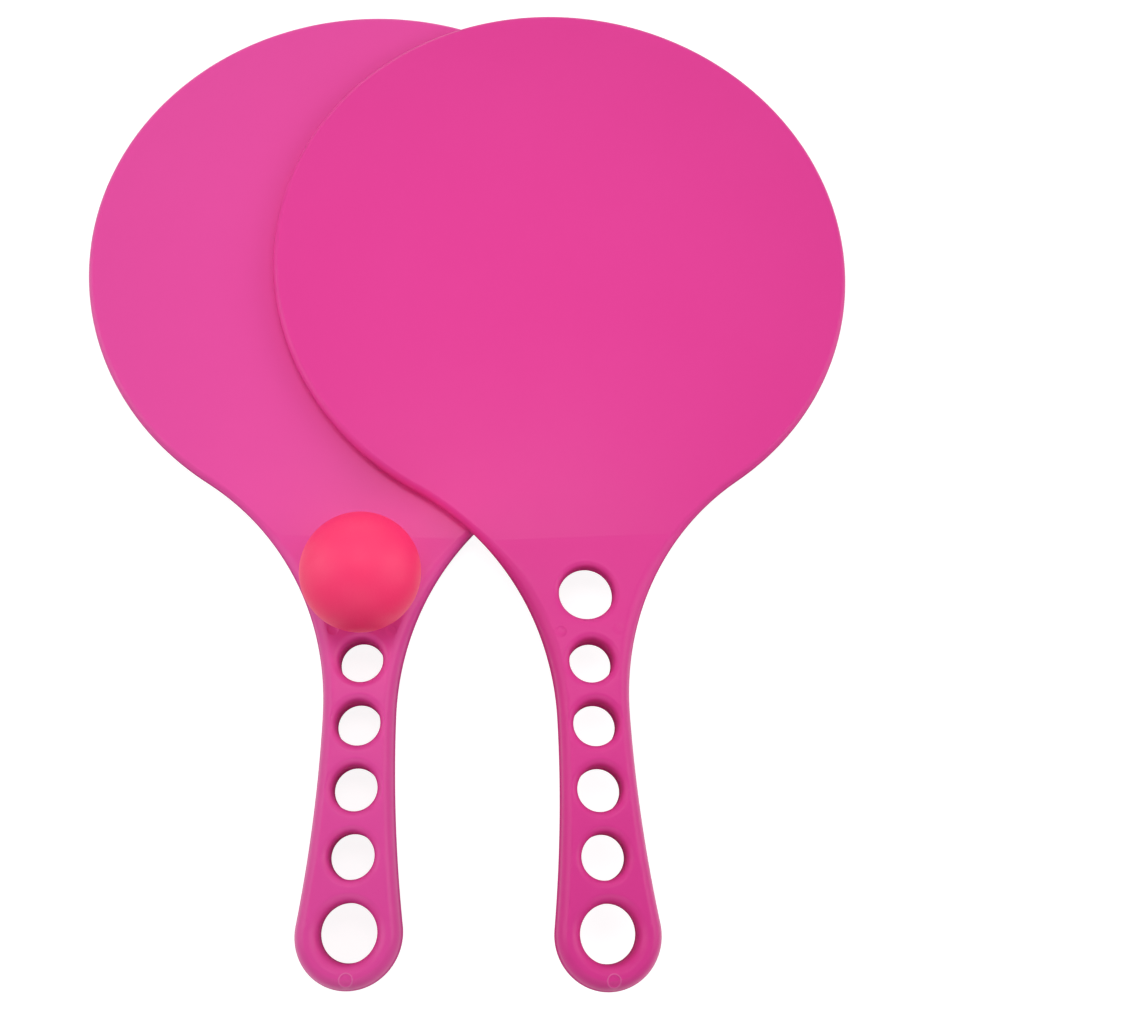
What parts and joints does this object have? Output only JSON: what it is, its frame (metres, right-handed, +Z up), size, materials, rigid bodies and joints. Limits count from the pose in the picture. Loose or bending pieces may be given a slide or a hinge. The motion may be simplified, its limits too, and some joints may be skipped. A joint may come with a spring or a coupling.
{
  "type": "beach tennis racket set",
  "caption": "Moulded plastic beach rackets, round blade, tapering throat, perforated grip, lying one on the other with a ball in the lower throat hole.",
  "frame": {"origin": "on the surface the set lies on, under the middle of its bounding box", "axes": "+Y from the grips to the far ends of the blades, +X from the rear racket to the front one, +Z up"},
  "size_m": [0.27, 0.3494, 0.0473],
  "materials": {
    "rear_racket_plastic": "satin moulded polypropylene, fine spark texture",
    "front_racket_plastic": "satin moulded polypropylene, fine spark texture",
    "ball_rubber": "matte"
  },
  "bodies": {
    "rear": {"rear_racket": "rear_racket_plastic"},
    "front": {"front_racket": "front_racket_plastic"},
    "ball": {"ball": "ball_rubber"}
  },
  "joints": [
    {"name": "front_lift", "type": "slide", "parent": "rear", "child": "front", "axis": [0, 0, 1], "range_m": [0, 0.06]},
    {"name": "ball_lift", "type": "slide", "parent": "rear", "child": "ball", "axis": [0, 0, 1], "range_m": [0, 0.05]}
  ]
}
